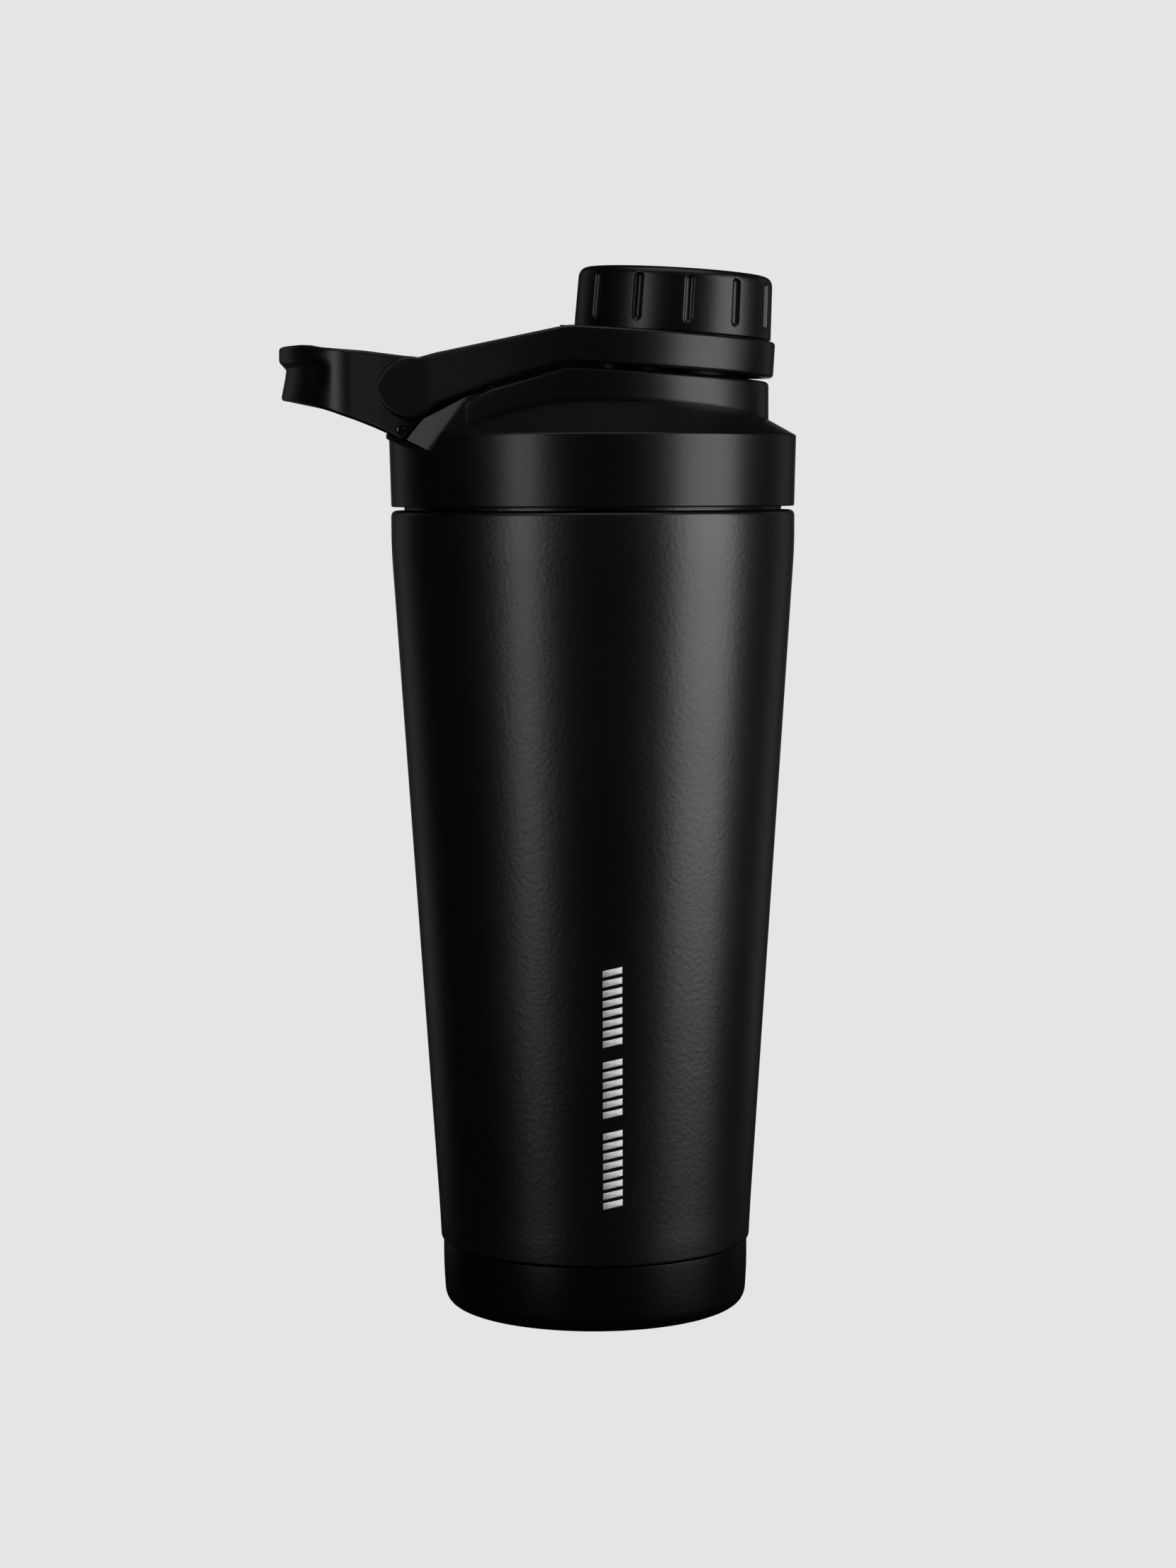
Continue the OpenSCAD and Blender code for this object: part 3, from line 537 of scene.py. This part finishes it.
yoke = {"nose": 41.5, "half": 33.8, "endR": 28.0, "thick": 2.6, "armIn": 28.35, "bossR": 6.85,
        "gap": 1.0, "tall": 8.0, "edge": 0.8, "holeR": 20.4, "back": -7.6}
half = ovalHalf(yoke["nose"], yoke["half"], yoke["endR"])
boss = hingeX - yoke["bossR"] * np.sin(np.radians(np.linspace(0, 89, 26)))
armX = np.concatenate([np.arange(-2, -33, -1.5), np.linspace(-34, -39.6, 8), boss])
armY = yoke["half"] - np.interp(-armX, [0, 8, 16, 26, 36, 48], [0, 0.1, 0.7, 1.7, 2.8, 3.6])
half = np.vstack([half, np.column_stack([armX, armY])])
path = mirrored(half)
normal = sideways(path)
normal *= np.sign(((np.array([0, 0]) - path) * normal).sum(1))[:, None]
px = path[:, 0]
isArm = px < -33
normal[isArm] = np.column_stack([np.zeros(isArm.sum()), -np.sign(path[isArm, 1])])
lowGap = yoke["gap"] / math.cos(lean)
highGap = lowGap + yoke["tall"] / math.cos(lean)
bossZ = np.sqrt(np.clip(yoke["bossR"] ** 2 - (px - hingeX) ** 2, 1e-4, None))
inBoss = np.abs(px - hingeX) < yoke["bossR"]
low = np.interp(px, [-37.2, -20.8, -6.4, -4.4, 50],
                [5.4, 11.3, planeZ(-6.4) + lowGap - 0.3, planeZ(-4.4) + lowGap, planeZ(50) + lowGap])
low = np.where(px < -36.5, hingeUp - bossZ, np.minimum(low, np.where(inBoss, hingeUp - bossZ, 99)))
high = np.interp(px, [-38, -34, -7.6, -5.2, -3, 50],
                 [16.9, 17.95, planeZ(-5.2) + highGap - 0.5, planeZ(-5.2) + highGap - 0.1,
                  planeZ(-3) + highGap, planeZ(50) + highGap])
high = np.where(px < -38, hingeUp + bossZ, np.maximum(high, np.where(inBoss, hingeUp + bossZ, -99)))


def yokeFace(x, z):
    # no relief on the yoke's outside
    return 0 * z


thick = np.where(isArm, np.abs(path[:, 1]) - yoke["armIn"], yoke["thick"])
ring = band(path, normal, low, high, yokeFace, thick, yoke["edge"], (12, 10))
drop = ring[..., 2] - collarTop - (planeZ(ring[..., 0]) + lowGap)
ring[..., 0] += np.clip((ring[..., 0] + 5) / 20, 0, 1) * (drop - yoke["tall"]) * math.tan(lean)
# top plate round the cap, cut straight at the back
setIn = 1.2                            # of the plate's edge inside the yoke's outer face
front = ovalHalf(yoke["nose"] - setIn, yoke["half"] - setIn, yoke["endR"] - setIn)
backEdge = np.array([[yoke["back"], yoke["half"] - 1.3], [yoke["back"], 0]])
outline = mirrored(np.vstack([dense(front, 1.2), dense(backEdge, 0.8)]))
outDist = radial(outline, centre, angle)
plateRings = []
section = [(0, 6.5), (0, 8.6), (0.008, 8.75), (0.03, 8.82), (0.5, 8.83), (0.97, 8.82), (1, 8.75), (1, 6.5)]
for share, z in section:
    d = yoke["holeR"] + (outDist - yoke["holeR"]) * share
    local = np.stack([away[:, 0] * d, away[:, 1] * d, 0 * d + z], -1)
    plateRings.append(onDeck(local))
makePiece("yokeStrap", [(capped(ring), True, False, True, True),
                        (np.stack(plateRings, 1), True, True, False, False)],
          "yoke", mouldedPp, ["yoke"])
print("yoke done")


cap = {"low": 9.3, "tall": 14.2, "lowR": 22.35, "topR": 21.9, "boreR": 20.05, "roof": 1.9, "round": 2.4,
       "flutes": 12, "fluteR": 1.15, "fluteOut": 0.3, "fluteLow": 2.0, "fluteLong": 8.4,
       "firstFlute": -82.8, "fluteLean": 2}
capTop = cap["low"] + cap["tall"]
outer = rounded([[cap["boreR"], cap["low"]], [cap["lowR"], cap["low"]], [cap["topR"], capTop],
                 [12, capTop + 0.06], [0, capTop + 0.11]], [0, 0.4, cap["round"], 2, 0], 14)
outer = dense(outer, 0.35)
inner = np.array([[0, capTop - cap["roof"]], [cap["boreR"], capTop - cap["roof"]],
                  [cap["boreR"], cap["low"]]])
# each flute is a ball-ended groove: r = centre - sqrt(fluteR^2 - across^2 - beyond^2)
turnAngle = np.linspace(0, tau, 576, endpoint=False)[:, None]
r, z = outer[:, 0][None] + 0 * turnAngle, outer[:, 1][None] + 0 * turnAngle
step = tau / cap["flutes"]
first = math.radians(cap["firstFlute"])
across = ((turnAngle - first + step / 2) % step - step / 2) * cap["lowR"]
lowEnd = cap["low"] + cap["fluteLow"] + cap["fluteR"]
highEnd = lowEnd + cap["fluteLong"]
beyond = np.maximum(np.maximum(lowEnd - z, z - highEnd), 0)
fluteCentre = cap["lowR"] + cap["fluteOut"] - (z - lowEnd) * math.tan(math.radians(cap["fluteLean"]))
depthCircle = np.sqrt(np.clip(cap["fluteR"] ** 2 - across ** 2 - beyond ** 2, 0, None))
r = np.where(depthCircle > 0, np.minimum(r, fluteCentre - depthCircle), r)
outerGrid = np.stack([r * np.cos(turnAngle), r * np.sin(turnAngle), z], -1)[:, ::-1]
ri, zi = inner[:, 0][None], inner[:, 1][None] + 0 * turnAngle
innerGrid = np.stack([ri * np.cos(turnAngle), ri * np.sin(turnAngle), zi], -1)[:, ::-1]
capGrid = np.concatenate([outerGrid, innerGrid[:, 1:]], 1)
makePiece("screwCap", [(onDeck(capGrid), True, False, True, True)], "cap", mouldedPp,
          ["cap_shell"])
print("cap done")


# pieces that keep their CAD shapes, with the finish of each
finishes = {"inner_vessel": stainless, "foot_pad": silicone, "base_plate": stainless,
            "vacuum_plug": pinSteel, "getter": getterAlloy, "lid_ring": innerPp, "lid_gasket": silicone,
            "mixing_grid": innerPp, "hinge_pin_front": pinSteel, "hinge_pin_back": pinSteel,
            "cap_liner": innerPp, "cap_gasket": silicone, "cap_retainer": innerPp}
for node, material in finishes.items():
    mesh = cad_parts[node].data
    mesh.materials.clear()
    mesh.materials.append(material)


floorMesh = bpy.data.meshes.new("floor")
reach = 12.0
floorMesh.from_pydata([(-reach, -reach, 0), (reach, -reach, 0), (reach, reach, 0), (-reach, reach, 0)], [],
                      [(0, 1, 2, 3)])
floor = bpy.data.objects.new("floor", floorMesh)
bpy.context.scene.collection.objects.link(floor)
paleFloor = bpy.data.materials.new("palePaintedFloor")
paleFloor.use_nodes = True
tree = paleFloor.node_tree
tree.nodes.clear()
ray = add(tree, "ShaderNodeLightPath")
glow = add(tree, "ShaderNodeEmission", {"Color": linear("e5e5e5"), "Strength": 1.0})
paint = add(tree, "ShaderNodeBsdfDiffuse", {"Color": linear("8a8a8a")})
both = add(tree, "ShaderNodeMixShader", links={0: ray.outputs["Is Camera Ray"], 1: paint.outputs[0],
                                               2: glow.outputs[0]})
add(tree, "ShaderNodeOutputMaterial", links={"Surface": both.outputs[0]})
floorMesh.materials.append(paleFloor)
floor.visible_glossy = floor.visible_diffuse = floor.visible_shadow = False   # the boxes reach below it

studio = {"fill": 0.012, "back": 0.8, "right": 11.4, "left": 4.8, "top": 5.0, "rim": 0.22}
world = bpy.data.worlds.new("studio")
bpy.context.scene.world = world
world.use_nodes = True
tree = world.node_tree
tree.nodes.clear()
ray = add(tree, "ShaderNodeLightPath")
seen = add(tree, "ShaderNodeBackground", {"Color": linear("e5e5e5"), "Strength": 1.0})
way = add(tree, "ShaderNodeTexCoord").outputs["Generated"]
behind = add(tree, "ShaderNodeSeparateXYZ", links={"Vector": way})
glow = add(tree, "ShaderNodeMapRange", {"From Min": 0.96, "From Max": 0.998, "To Min": studio["fill"],
                                        "To Max": studio["back"]}, {"Value": behind.outputs["Y"]})
fill = add(tree, "ShaderNodeBackground", {"Color": linear("e5e5e5")}, {"Strength": glow.outputs["Result"]})
both = add(tree, "ShaderNodeMixShader", links={0: ray.outputs["Is Camera Ray"], 1: fill.outputs[0],
                                               2: seen.outputs[0]})
add(tree, "ShaderNodeOutputWorld", links={"Surface": both.outputs[0]})


def softBox(name, azimuth, distance, height, width, tall, power, aimZ=0.38):
    # an upright rectangle of light facing the bottle; azimuth is measured from the camera's side
    a = math.radians(azimuth)
    light = bpy.data.lights.new(name, "AREA")
    light.shape = "RECTANGLE"
    light.size, light.size_y = width, tall
    light.energy = power
    lamp = bpy.data.objects.new(name, light)
    bpy.context.scene.collection.objects.link(lamp)
    lamp.location = (distance * math.sin(a), -distance * math.cos(a), height)
    aim = Vector((0, 0, aimZ)) - lamp.location
    lamp.rotation_euler = aim.to_track_quat("-Z", "Y").to_euler()


softBox("rightBox", 67, 1.2, 0.38, 0.80, 1.1, studio["right"])
softBox("leftBox", -39.5, 1.4, 0.38, 0.42, 1.2, studio["left"])
softBox("rimLeft", -138, 1.3, 0.30, 0.45, 1.1, studio["rim"])
softBox("rimRight", 136, 1.3, 0.30, 0.45, 1.1, studio["rim"])
softBox("topBox", 0, 0.25, 1.5, 1.4, 1.0, studio["top"], 0.14)

lens = bpy.data.cameras.new("camera")
lens.lens, lens.sensor_width, lens.sensor_fit = 78.3, 36, "AUTO"
lens.clip_end = 50
camera = bpy.data.objects.new("camera", lens)
bpy.context.scene.collection.objects.link(camera)
pitch, roll = math.radians(90 - 5.06), math.radians(-0.2)
place = Matrix.Translation((-1.3 * mm, -780 * mm, 189.1 * mm))
camera.matrix_world = place @ Matrix.Rotation(pitch, 4, "X") @ Matrix.Rotation(roll, 4, "Z")
bpy.context.scene.camera = camera
bpy.context.scene.view_settings.view_transform = "Standard"
